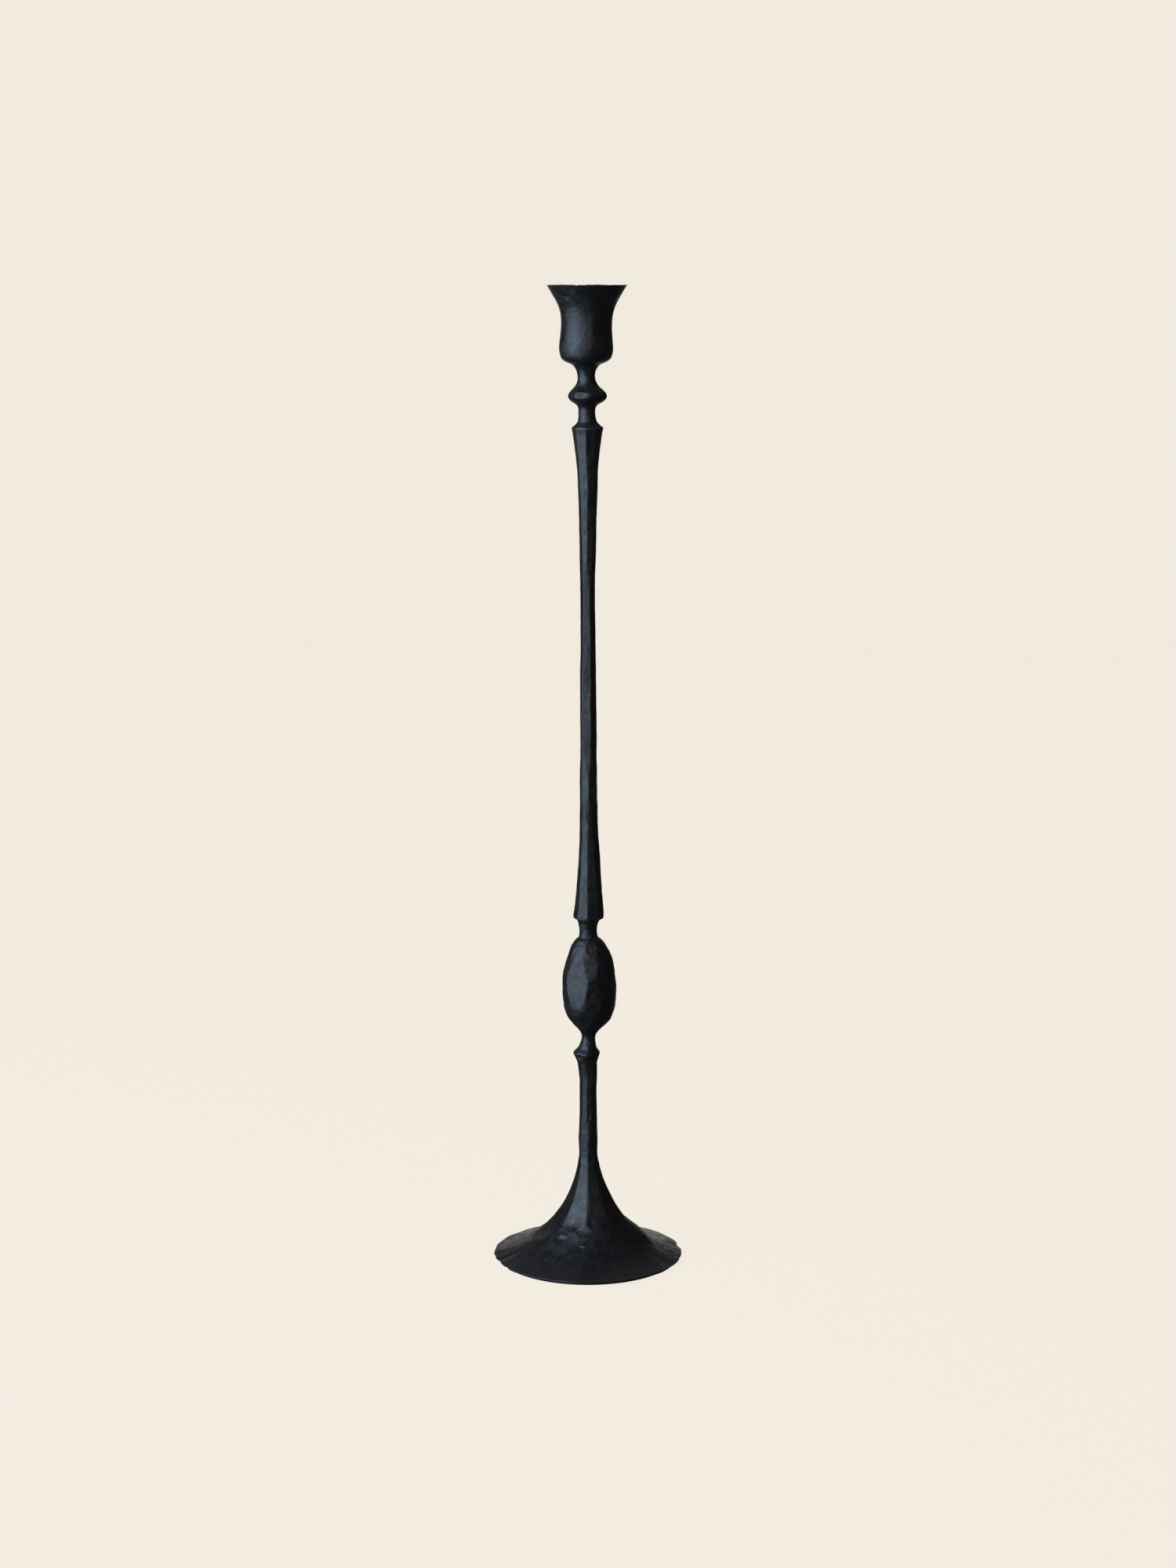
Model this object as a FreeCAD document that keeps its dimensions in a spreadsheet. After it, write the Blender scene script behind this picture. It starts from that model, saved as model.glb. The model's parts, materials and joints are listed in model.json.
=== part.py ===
import FreeCAD, Part
import math
import os

import Sketcher

# A tall iron taper candlestick, all lengths in millimetres. Z is up and the origin lies on the
# surface it stands on, under its centre line. Every piece is turned round that line, except the
# eight-sided shaft, and stands on the piece below it: felt, foot, stem, collar, egg, ferrule,
# shaft, knop and cup. Studs, a bolt and a countersunk screw hold the stack together.

SIZES = {
    # the whole
    "overall_height": 600.0,
    "foot_diameter": 118.0,
    # fits: the play round a screw, and the gap that stands for a cut thread
    "screw_play": 0.2,
    "thread_gap": 0.05,
    "hole_end_room": 2.0,
    # foot: a hollow trumpet with a wide brim
    "foot_height": 60.8,
    "foot_edge": 2.0,
    "brim_diameter": 56.0,
    "brim_level": 17.4,
    "brim_sweep": 36.0,
    "trumpet_sweep": 34.0,
    "throat_diameter": 13.2,
    "foot_wall": 2.2,
    "land_width": 9.0,
    "cavity_sweep": 30.0,
    "washer_seat_level": 42.8,
    "washer_seat_diameter": 14.0,
    # felt ring under the brim
    "felt_thickness": 1.2,
    "felt_inset": 4.4,
    "felt_width": 4.0,
    # bolt and washers that pull the stem down on the foot
    "bolt_thread": 6.0,
    "bolt_length": 35.0,
    "bolt_head_height": 4.0,
    "bolt_head_flats": 10.0,
    "washer_diameter": 12.0,
    "washer_thickness": 1.6,
    "spring_washer_diameter": 11.4,
    "spring_washer_thickness": 1.6,
    "spring_washer_slit": 1.0,
    # stem
    "stem_length": 62.0,
    "stem_foot_diameter": 12.6,
    "stem_waist_diameter": 10.7,
    "stem_waist_level": 47.0,
    "stem_top_diameter": 12.2,
    "stem_sweep": 4.0,
    # collar between the stem and the egg
    "collar_height": 13.0,
    "collar_diameter": 17.2,
    "collar_edge_level": 7.0,
    "collar_edge": 0.8,
    "collar_top_diameter": 9.2,
    "collar_sweep": 12.0,
    # egg, with the neck and the threaded tenon that are one piece with it
    "egg_height": 67.5,
    "egg_diameter": 33.0,
    "egg_widest_level": 36.8,
    "egg_neck_diameter": 8.5,
    "egg_neck_length": 5.5,
    "egg_root_share": 0.535,
    "egg_root_level": 12.0,
    "egg_lower_share": 0.845,
    "egg_lower_level": 18.9,
    "egg_upper_share": 0.80,
    "egg_upper_level": 56.6,
    "egg_top_diameter": 12.2,
    "egg_root_sweep": 33.0,
    "egg_lower_sweep": 26.0,
    "egg_belly_sweep": 16.0,
    "egg_shoulder_sweep": 18.0,
    "egg_crown_sweep": 27.0,
    "tenon_grip": 12.0,
    # ferrule between the egg and the shaft
    "ferrule_height": 12.0,
    "ferrule_foot_diameter": 11.9,
    "ferrule_waist_diameter": 10.9,
    "ferrule_waist_level": 3.3,
    "ferrule_cone_diameter": 12.0,
    "ferrule_cone_level": 8.0,
    "ferrule_top_diameter": 15.8,
    "ferrule_foot_sweep": 20.0,
    "ferrule_top_sweep": 40.0,
    # stud from the egg into the shaft
    "shaft_stud_grip": 16.0,
    # shaft: an eight-sided bar with a waist, measured across its corners
    "shaft_foot_diameter": 18.9,
    "shaft_waist_diameter": 9.4,
    "shaft_top_diameter": 18.8,
    "shaft_waist_share": 0.655,
    # stud from the shaft into the knop, and the knop
    "neck_thread": 5.0,
    "neck_stud_grip": 14.0,
    "knop_height": 35.4,
    "knop_foot_diameter": 16.8,
    "knop_neck_diameter": 10.2,
    "knop_neck_level": 5.0,
    "knop_neck_length": 5.6,
    "bead_diameter": 23.2,
    "bead_root_diameter": 17.6,
    "bead_root_level": 14.4,
    "bead_level": 18.6,
    "bead_crown_diameter": 18.6,
    "bead_crown_level": 21.9,
    "upper_neck_diameter": 10.5,
    "upper_neck_level": 29.3,
    "knop_top_diameter": 14.6,
    "knop_foot_sweep": 48.0,
    "bead_hollow_sweep": 42.0,
    "bead_sweep": 30.0,
    "upper_neck_sweep": 38.0,
    # cup, with the socket that takes a standard 22 mm taper
    "cup_height": 48.0,
    "candle_diameter": 22.0,
    "candle_play": 0.4,
    "socket_depth": 26.5,
    "cup_floor": 6.0,
    "cup_root_diameter": 26.0,
    "cup_root_level": 3.2,
    "cup_wall": 3.75,
    "cup_bulge": 0.95,
    "cup_bulge_level": 10.6,
    "cup_waist_level": 24.5,
    "cup_rim_diameter": 47.8,
    "cup_lip": 0.9,
    "cup_root_sweep": 30.0,
    "cup_bulge_sweep": 62.0,
    "cup_body_sweep": 12.0,
    "cup_flare_sweep": 36.0,
    "cup_mouth_sweep": 30.0,
    # countersunk screw through the cup's floor
    "cup_screw_length": 16.0,
    "cup_screw_head_diameter": 9.4,
    "cup_screw_head_height": 2.7,
    "cup_screw_head_edge": 0.3,
    "cup_screw_recess": 0.2,
    "cup_screw_key": 3.0,
    "cup_screw_key_depth": 1.8,
}

# The sections of the shaft between each end and its waist: how far along that stretch a section
# lies, and how much of the change in diameter it has made by then.
SWELL_AT_FOOT = [(0.07, 0.25), (0.16, 0.53), (0.28, 0.71), (0.50, 0.86)]
SWELL_AT_TOP = [(0.07, 0.21), (0.16, 0.47), (0.30, 0.67), (0.60, 0.85)]

SIDES_OF_SHAFT = 8
SIDES_OF_HEX = 6


class Size:
    """A length with its number and the spreadsheet expression that gives it."""

    def __init__(self, text, number):
        self.text = text
        self.number = number

    def join(self, other, sign, result):
        other_text = other.text if isinstance(other, Size) else repr(float(other))
        return Size(f"({self.text} {sign} {other_text})", result)

    def __add__(self, other):
        return self.join(other, "+", self.number + plain(other))

    def __sub__(self, other):
        return self.join(other, "-", self.number - plain(other))

    def __mul__(self, other):
        return self.join(other, "*", self.number * plain(other))

    def __truediv__(self, other):
        return self.join(other, "/", self.number / plain(other))

    def __neg__(self):
        return Size(f"(-1 * {self.text})", -self.number)


def plain(value):
    """The bare number of a Size or of a number."""
    return value.number if isinstance(value, Size) else float(value)


def fill_sheet(doc):
    """Write every driving size into the sheet and return them as Size values by name."""
    sheet = doc.addObject("Spreadsheet::Sheet", "dims")
    for row, (alias, value) in enumerate(SIZES.items(), start=1):
        sheet.set(f"A{row}", alias)
        sheet.set(f"B{row}", str(value))
        sheet.setAlias(f"B{row}", alias)
    doc.recompute()
    return {alias: Size(f"dims.{alias}", value) for alias, value in SIZES.items()}


doc = FreeCAD.newDocument("candlestick")
size = fill_sheet(doc)
ZERO = Size("0", 0.0)


def new_body(name, level):
    """A body that carries the node's name and stands at the given level on the centre line."""
    body = doc.addObject("PartDesign::Body", name)
    body.Label = name
    body.setExpression("Placement.Base.z", level.text)
    return body


def new_sketch(body, name, role, level=None):
    """A sketch on one of the body's own planes, raised to a level where one is given."""
    sketch = body.newObject("Sketcher::SketchObject", f"{body.Name}_{name}")
    plane = next(f for f in body.Origin.OriginFeatures if f.Role == role)
    sketch.AttachmentSupport = [(plane, "")]
    sketch.MapMode = "FlatFace"
    if level is not None:
        sketch.setExpression("AttachmentOffset.Base.z", level.text)
    return sketch


def bind(sketch, kind, *where, value):
    """Add a dimension to the sketch and tie it to its expression."""
    index = sketch.addConstraint(Sketcher.Constraint(kind, *where, plain(value)))
    sketch.setExpression(f"Constraints[{index}]", value.text)
    return index


def arc_between(start, end, sweep):
    """The arc from start to end that turns by sweep degrees, anticlockwise where positive."""
    (x0, y0), (x1, y1) = start, end
    half = math.radians(abs(sweep)) / 2.0
    chord = math.hypot(x1 - x0, y1 - y0)
    rise = math.copysign(chord / 2.0 * math.tan(half / 2.0), sweep)
    middle = ((x0 + x1) / 2.0 + rise * (y1 - y0) / chord, (y0 + y1) / 2.0 - rise * (x1 - x0) / chord)
    corners = [FreeCAD.Vector(x, y, 0) for x, y in (start, middle, end)]
    return Part.Arc(*corners)


def outline(body, name, points, role="XZ_Plane"):
    """A closed sketch through (across, up) points. A third entry is the sweep of the arc that
    leads to the point from the one before, and a point without one ends a straight edge."""
    sketch = new_sketch(body, name, role)
    count = len(points)
    place = [(plain(p[0]), plain(p[1])) for p in points]
    for i, point in enumerate(points):
        start, end = place[i - 1], place[i]
        if len(point) == 3:
            sketch.addGeometry(arc_between(start, end, plain(point[2])), False)
        else:
            ends = [FreeCAD.Vector(x, y, 0) for x, y in (start, end)]
            sketch.addGeometry(Part.LineSegment(*ends), False)
    # An arc is always kept anticlockwise, so one drawn with a negative sweep starts at its end.
    first = [2 if len(p) == 3 and plain(p[2]) < 0 else 1 for p in points]
    last = [3 - f for f in first]
    for i in range(count):
        following = (i + 1) % count
        sketch.addConstraint(
            Sketcher.Constraint("Coincident", i, last[i], following, first[following])
        )
    for i, point in enumerate(points):
        for kind, axis, value in (("DistanceX", -2, point[0]), ("DistanceY", -1, point[1])):
            if value is ZERO:
                sketch.addConstraint(Sketcher.Constraint("PointOnObject", i, last[i], axis))
            else:
                bind(sketch, kind, -1, 1, i, last[i], value=value)
        if len(point) == 3:
            turn = Size(f"abs({point[2].text}) * 1deg", math.radians(abs(plain(point[2]))))
            bind(sketch, "Angle", i, value=turn)
    return sketch


def revolve(body, kind, name, points):
    """Turn a closed outline through a full circle, as material or as a cut."""
    sketch = outline(body, f"{name}_outline", points)
    turned = body.newObject(f"PartDesign::{kind}", f"{body.Name}_{name}")
    turned.Profile = sketch
    turned.ReferenceAxis = (sketch, ["V_Axis"])
    turned.Angle = 360.0
    doc.recompute()
    return turned


def circle(sketch, diameter):
    """A full circle about the centre line."""
    shape = Part.Circle(FreeCAD.Vector(0, 0, 0), FreeCAD.Vector(0, 0, 1), plain(diameter) / 2.0)
    index = sketch.addGeometry(shape, False)
    sketch.addConstraint(Sketcher.Constraint("Coincident", index, 3, -1, 1))
    bind(sketch, "Diameter", index, value=diameter)


def polygon(sketch, sides, corner_diameter):
    """A regular polygon about the centre line, with one corner towards the front."""
    radius = plain(corner_diameter) / 2.0
    step = 2.0 * math.pi / sides
    corners = [
        FreeCAD.Vector(radius * math.sin(i * step), -radius * math.cos(i * step), 0)
        for i in range(sides)
    ]
    for i in range(sides):
        sketch.addGeometry(Part.LineSegment(corners[i], corners[(i + 1) % sides]), False)
    guide = sketch.addGeometry(
        Part.Circle(FreeCAD.Vector(0, 0, 0), FreeCAD.Vector(0, 0, 1), radius), True
    )
    for i in range(sides):
        sketch.addConstraint(Sketcher.Constraint("Coincident", i, 2, (i + 1) % sides, 1))
        sketch.addConstraint(Sketcher.Constraint("PointOnObject", i, 1, guide))
        if i:
            sketch.addConstraint(Sketcher.Constraint("Equal", 0, i))
    sketch.addConstraint(Sketcher.Constraint("Coincident", guide, 3, -1, 1))
    sketch.addConstraint(Sketcher.Constraint("PointOnObject", 0, 1, -2))
    bind(sketch, "Diameter", guide, value=corner_diameter)


def pad(body, name, draw, length, level=None):
    """Raise a sketched section upwards from a level."""
    sketch = new_sketch(body, f"{name}_section", "XY_Plane", level)
    draw(sketch)
    raised = body.newObject("PartDesign::Pad", f"{body.Name}_{name}")
    raised.Profile = sketch
    raised.setExpression("Length", length.text)
    doc.recompute()
    return raised


def pocket(body, name, draw, length, level, upwards):
    """Cut a sketched section upwards or downwards from a level, and check that it cuts."""
    before = body.Shape.Volume
    sketch = new_sketch(body, f"{name}_section", "XY_Plane", level)
    draw(sketch)
    cut = body.newObject("PartDesign::Pocket", f"{body.Name}_{name}")
    cut.Profile = sketch
    cut.Reversed = upwards
    cut.setExpression("Length", length.text)
    doc.recompute()
    if not body.Shape.Volume < before:
        raise RuntimeError(f"{body.Name}: {name} cuts nothing")
    return cut


def across_corners(flats):
    """The diameter across the corners of a hexagon of the given width across its flats."""
    return flats / math.cos(math.pi / SIDES_OF_HEX)


# Fits that more than one piece shares
screw_hole = size["bolt_thread"] + size["screw_play"] * 2
tapped_hole = size["bolt_thread"] + size["thread_gap"] * 2
neck_screw_hole = size["neck_thread"] + size["screw_play"] * 2
neck_tapped_hole = size["neck_thread"] + size["thread_gap"] * 2
foot_radius = size["foot_diameter"] / 2
felt_outer_diameter = size["foot_diameter"] - size["felt_inset"] * 2
felt_inner_diameter = felt_outer_diameter - size["felt_width"] * 2

# Levels of the stack, each the top of the piece below
foot_base = size["felt_thickness"]
stem_base = foot_base + size["foot_height"]
collar_base = stem_base + size["stem_length"]
egg_base = collar_base + size["collar_height"]
ferrule_base = egg_base + size["egg_height"]
shaft_base = ferrule_base + size["ferrule_height"]
cup_base = size["overall_height"] - size["cup_height"]
knop_base = cup_base - size["knop_height"]
shaft_length = knop_base - shaft_base
washer_seat = foot_base + size["washer_seat_level"]
bolt_bearing = washer_seat - size["washer_thickness"] - size["spring_washer_thickness"]
bolt_reach = size["bolt_length"] + bolt_bearing - stem_base


def felt_ring():
    """The felt ring glued to the flat land under the brim."""
    body = new_body("felt_ring", ZERO)
    inner, outer = felt_inner_diameter / 2, felt_outer_diameter / 2
    top = size["felt_thickness"]
    revolve(body, "Revolution", "ring", [(inner, ZERO), (outer, ZERO), (outer, top), (inner, top)])
    return body


def flared_foot():
    """A thin-walled trumpet that spreads into a wide brim, with a flat land for the felt."""
    body = new_body("flared_foot", foot_base)
    brim, throat = size["brim_diameter"] / 2, size["throat_diameter"] / 2
    wall, seat = size["foot_wall"], size["washer_seat_diameter"] / 2
    revolve(body, "Revolution", "casting", [
        (ZERO, ZERO),
        (foot_radius, ZERO),
        (foot_radius, size["foot_edge"]),
        (brim, size["brim_level"], -size["brim_sweep"]),
        (throat, size["foot_height"], -size["trumpet_sweep"]),
        (ZERO, size["foot_height"]),
    ])
    revolve(body, "Groove", "cavity", [
        (ZERO, ZERO),
        (foot_radius - size["land_width"], ZERO),
        (brim - wall, size["brim_level"] - wall, -size["cavity_sweep"]),
        (seat, size["washer_seat_level"], -size["cavity_sweep"]),
        (ZERO, size["washer_seat_level"]),
    ])
    throat_length = size["foot_height"] - size["washer_seat_level"]
    pocket(body, "bolt_hole", lambda s: circle(s, screw_hole),
           throat_length, size["washer_seat_level"], upwards=True)
    return body


def foot_bolt():
    """The hexagon bolt that comes up through the foot into the stem; its origin is under the
    head's bearing face."""
    body = new_body("foot_bolt", bolt_bearing)
    corners = across_corners(size["bolt_head_flats"])
    head = size["bolt_head_height"]
    pad(body, "head", lambda s: polygon(s, SIDES_OF_HEX, corners), head, level=-head)
    pad(body, "thread", lambda s: circle(s, size["bolt_thread"]), size["bolt_length"])
    flats = size["bolt_head_flats"] / 2
    bevel = (corners / 2 - flats) / math.sqrt(3.0)
    revolve(body, "Groove", "bevel", [
        (flats, -head), (corners / 2 + bevel, -head), (corners / 2 + bevel, bevel - head),
        (corners / 2, bevel - head),
    ])
    return body


def foot_washer():
    """The flat washer against the foot's seat."""
    body = new_body("foot_washer", washer_seat - size["washer_thickness"])
    pad(body, "disc", lambda s: circle(s, size["washer_diameter"]), size["washer_thickness"])
    pocket(body, "hole", lambda s: circle(s, screw_hole),
           size["washer_thickness"], ZERO, upwards=True)
    return body


def foot_spring_washer():
    """The split washer between the bolt's head and the flat washer."""
    body = new_body("foot_spring_washer", bolt_bearing)
    rise = size["spring_washer_thickness"]
    pad(body, "disc", lambda s: circle(s, size["spring_washer_diameter"]), rise)
    pocket(body, "hole", lambda s: circle(s, screw_hole), rise, ZERO, upwards=True)
    reach, half_slit = size["spring_washer_diameter"] / 2, size["spring_washer_slit"] / 2
    corners = [(ZERO, -half_slit), (reach, -half_slit), (reach, half_slit), (ZERO, half_slit)]
    before = body.Shape.Volume
    slit = body.newObject("PartDesign::Pocket", "foot_spring_washer_slit")
    slit.Profile = outline(body, "slit_outline", corners, role="XY_Plane")
    slit.Reversed = True
    slit.setExpression("Length", rise.text)
    doc.recompute()
    if not body.Shape.Volume < before:
        raise RuntimeError("foot_spring_washer: the slit cuts nothing")
    return body


def pedestal_stem():
    """The waisted bar between the foot and the collar, tapped at both ends."""
    body = new_body("pedestal_stem", stem_base)
    length = size["stem_length"]
    revolve(body, "Revolution", "bar", [
        (ZERO, ZERO),
        (size["stem_foot_diameter"] / 2, ZERO),
        (size["stem_waist_diameter"] / 2, size["stem_waist_level"], -size["stem_sweep"]),
        (size["stem_top_diameter"] / 2, length, -size["stem_sweep"]),
        (ZERO, length),
    ])
    pocket(body, "bolt_thread", lambda s: circle(s, tapped_hole),
           bolt_reach + size["hole_end_room"], ZERO, upwards=True)
    pocket(body, "tenon_thread", lambda s: circle(s, tapped_hole),
           size["tenon_grip"] + size["hole_end_room"], length, upwards=False)
    return body


def stem_collar():
    """The sharp-edged ring threaded over the egg's tenon."""
    body = new_body("stem_collar", collar_base)
    bore, edge = screw_hole / 2, size["collar_diameter"] / 2
    revolve(body, "Revolution", "ring", [
        (bore, ZERO),
        (size["stem_top_diameter"] / 2, ZERO),
        (edge, size["collar_edge_level"], -size["collar_sweep"]),
        (edge, size["collar_edge_level"] + size["collar_edge"]),
        (size["collar_top_diameter"] / 2, size["collar_height"], -size["collar_sweep"]),
        (bore, size["collar_height"]),
    ])
    return body


def egg_knop():
    """The large egg, its lower neck and the tenon that runs through the collar into the stem."""
    body = new_body("egg_knop", egg_base)
    neck, widest = size["egg_neck_diameter"] / 2, size["egg_diameter"] / 2
    tenon, tenon_end = size["bolt_thread"] / 2, -(size["collar_height"] + size["tenon_grip"])
    revolve(body, "Revolution", "egg", [
        (ZERO, tenon_end),
        (tenon, tenon_end),
        (tenon, ZERO),
        (neck, ZERO),
        (neck, size["egg_neck_length"]),
        (widest * size["egg_root_share"], size["egg_root_level"], -size["egg_root_sweep"]),
        (widest * size["egg_lower_share"], size["egg_lower_level"], size["egg_lower_sweep"]),
        (widest, size["egg_widest_level"], size["egg_belly_sweep"]),
        (widest * size["egg_upper_share"], size["egg_upper_level"], size["egg_shoulder_sweep"]),
        (size["egg_top_diameter"] / 2, size["egg_height"], size["egg_crown_sweep"]),
        (ZERO, size["egg_height"]),
    ])
    pocket(body, "stud_thread", lambda s: circle(s, tapped_hole),
           size["shaft_stud_grip"], size["egg_height"], upwards=False)
    return body


def shaft_ferrule():
    """The spool between the egg and the shaft."""
    body = new_body("shaft_ferrule", ferrule_base)
    bore = screw_hole / 2
    revolve(body, "Revolution", "spool", [
        (bore, ZERO),
        (size["ferrule_foot_diameter"] / 2, ZERO),
        (size["ferrule_waist_diameter"] / 2, size["ferrule_waist_level"],
         -size["ferrule_foot_sweep"]),
        (size["ferrule_cone_diameter"] / 2, size["ferrule_cone_level"]),
        (size["ferrule_top_diameter"] / 2, size["ferrule_height"], -size["ferrule_top_sweep"]),
        (bore, size["ferrule_height"]),
    ])
    return body


def shaft_stud():
    """The stud that stands in the egg and holds the ferrule and the shaft."""
    body = new_body("shaft_stud", ferrule_base - size["shaft_stud_grip"])
    length = size["shaft_stud_grip"] * 2 + size["ferrule_height"]
    pad(body, "rod", lambda s: circle(s, size["bolt_thread"]), length)
    return body


def shaft_sections():
    """(level, diameter across the corners) of each section of the shaft, foot to top."""
    foot, waist, top = (size[f"shaft_{part}_diameter"] for part in ("foot", "waist", "top"))
    waist_level = shaft_length * size["shaft_waist_share"]
    above = shaft_length - waist_level
    lower = [(waist_level * along, foot - (foot - waist) * gone) for along, gone in SWELL_AT_FOOT]
    upper = [
        (shaft_length - above * along, top - (top - waist) * gone) for along, gone in SWELL_AT_TOP
    ]
    return [(ZERO, foot), *lower, (waist_level, waist), *reversed(upper), (shaft_length, top)]


def tapered_shaft():
    """The long eight-sided bar, drawn in to a waist and spread again, tapped at both ends."""
    body = new_body("tapered_shaft", shaft_base)
    sketches = []
    for number, (level, diameter) in enumerate(shaft_sections()):
        sketch = new_sketch(body, f"section_{number}", "XY_Plane", level)
        polygon(sketch, SIDES_OF_SHAFT, diameter)
        sketches.append(sketch)
    doc.recompute()
    bar = body.newObject("PartDesign::AdditiveLoft", "tapered_shaft_bar")
    bar.Profile = sketches[0]
    bar.Sections = sketches[1:]
    bar.Ruled = False
    doc.recompute()
    pocket(body, "foot_thread", lambda s: circle(s, tapped_hole),
           size["shaft_stud_grip"] + size["hole_end_room"], ZERO, upwards=True)
    pocket(body, "top_thread", lambda s: circle(s, neck_tapped_hole),
           size["neck_stud_grip"], shaft_length, upwards=False)
    return body


def neck_stud():
    """The stud that joins the shaft and the knop."""
    body = new_body("neck_stud", knop_base - size["neck_stud_grip"])
    pad(body, "rod", lambda s: circle(s, size["neck_thread"]), size["neck_stud_grip"] * 2)
    return body


def neck_knop():
    """The slender neck with a round bead, tapped from below for the stud and from above for the
    cup's screw."""
    body = new_body("neck_knop", knop_base)
    neck, neck_top = size["knop_neck_diameter"] / 2, size["knop_neck_level"] + size["knop_neck_length"]
    revolve(body, "Revolution", "neck", [
        (ZERO, ZERO),
        (size["knop_foot_diameter"] / 2, ZERO),
        (neck, size["knop_neck_level"], -size["knop_foot_sweep"]),
        (neck, neck_top),
        (size["bead_root_diameter"] / 2, size["bead_root_level"], -size["bead_hollow_sweep"]),
        (size["bead_diameter"] / 2, size["bead_level"], size["bead_sweep"]),
        (size["bead_crown_diameter"] / 2, size["bead_crown_level"], size["bead_sweep"]),
        (size["upper_neck_diameter"] / 2, size["upper_neck_level"], -size["bead_hollow_sweep"]),
        (size["knop_top_diameter"] / 2, size["knop_height"], -size["upper_neck_sweep"]),
        (ZERO, size["knop_height"]),
    ])
    pocket(body, "stud_thread", lambda s: circle(s, neck_tapped_hole),
           size["neck_stud_grip"] + size["hole_end_room"], ZERO, upwards=True)
    screw_reach = size["cup_screw_length"] + size["cup_screw_recess"] - size["cup_floor"]
    pocket(body, "screw_thread", lambda s: circle(s, neck_tapped_hole),
           screw_reach + size["hole_end_room"], size["knop_height"], upwards=False)
    return body


def candle_cup():
    """The bell-mouthed cup, with a straight socket for the candle and a countersunk floor."""
    body = new_body("candle_cup", cup_base)
    socket = size["candle_diameter"] / 2 + size["candle_play"]
    waist = socket + size["cup_wall"]
    rim, floor = size["cup_rim_diameter"] / 2, size["cup_floor"]
    revolve(body, "Revolution", "bell", [
        (ZERO, ZERO),
        (size["knop_top_diameter"] / 2, ZERO),
        (size["cup_root_diameter"] / 2, size["cup_root_level"], -size["cup_root_sweep"]),
        (waist + size["cup_bulge"], size["cup_bulge_level"], size["cup_bulge_sweep"]),
        (waist, size["cup_waist_level"], -size["cup_body_sweep"]),
        (rim, size["cup_height"], -size["cup_flare_sweep"]),
        (rim - size["cup_lip"], size["cup_height"]),
        (socket, floor + size["socket_depth"], size["cup_mouth_sweep"]),
        (socket, floor),
        (ZERO, floor),
    ])
    head, head_top = size["cup_screw_head_diameter"] / 2, floor - size["cup_screw_recess"]
    screw = size["neck_thread"] / 2
    revolve(body, "Groove", "countersink", [
        (ZERO, head_top - size["cup_screw_head_height"]),
        (screw, head_top - size["cup_screw_head_height"]),
        (head, head_top - size["cup_screw_head_edge"]),
        (head, floor),
        (ZERO, floor),
    ])
    pocket(body, "screw_hole", lambda s: circle(s, neck_screw_hole), floor, ZERO, upwards=True)
    return body


def cup_screw():
    """The countersunk screw that holds the cup; its origin is the top of its head."""
    body = new_body("cup_screw", cup_base + size["cup_floor"] - size["cup_screw_recess"])
    head, screw = size["cup_screw_head_diameter"] / 2, size["neck_thread"] / 2
    tip = -size["cup_screw_length"]
    revolve(body, "Revolution", "screw", [
        (ZERO, tip),
        (screw, tip),
        (screw, -size["cup_screw_head_height"]),
        (head, -size["cup_screw_head_edge"]),
        (head, ZERO),
        (ZERO, ZERO),
    ])
    key = across_corners(size["cup_screw_key"])
    pocket(body, "key", lambda s: polygon(s, SIDES_OF_HEX, key),
           size["cup_screw_key_depth"], ZERO, upwards=False)
    return body


bodies = [
    felt_ring(), flared_foot(), foot_bolt(), foot_washer(), foot_spring_washer(),
    pedestal_stem(), stem_collar(), egg_knop(), shaft_ferrule(), shaft_stud(),
    tapered_shaft(), neck_stud(), neck_knop(), candle_cup(), cup_screw(),
]
doc.recompute()

for item in doc.Objects:
    if "Invalid" in item.State or "Error" in item.State:
        raise RuntimeError(f"{item.Name} failed: {item.State}")
for item in doc.findObjects("Sketcher::SketchObject"):
    if item.solve() != 0 or not item.FullyConstrained:
        raise RuntimeError(f"{item.Name} isn't fully constrained")
for body in bodies:
    if body.Shape.isNull() or not body.Shape.isValid() or len(body.Shape.Solids) != 1:
        raise RuntimeError(f"{body.Label} isn't one valid solid")

os.makedirs("parts", exist_ok=True)
for body in bodies:
    body.Shape.exportStep(f"parts/{body.Label}.step")
    box = body.Shape.optimalBoundingBox()
    print(f"{body.Label:20s} z {box.ZMin:7.2f} to {box.ZMax:7.2f}  across {box.XLength:6.2f}"
          f"  volume {body.Shape.Volume / 1000.0:7.2f} cm3")
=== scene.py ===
import json
import math

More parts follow.
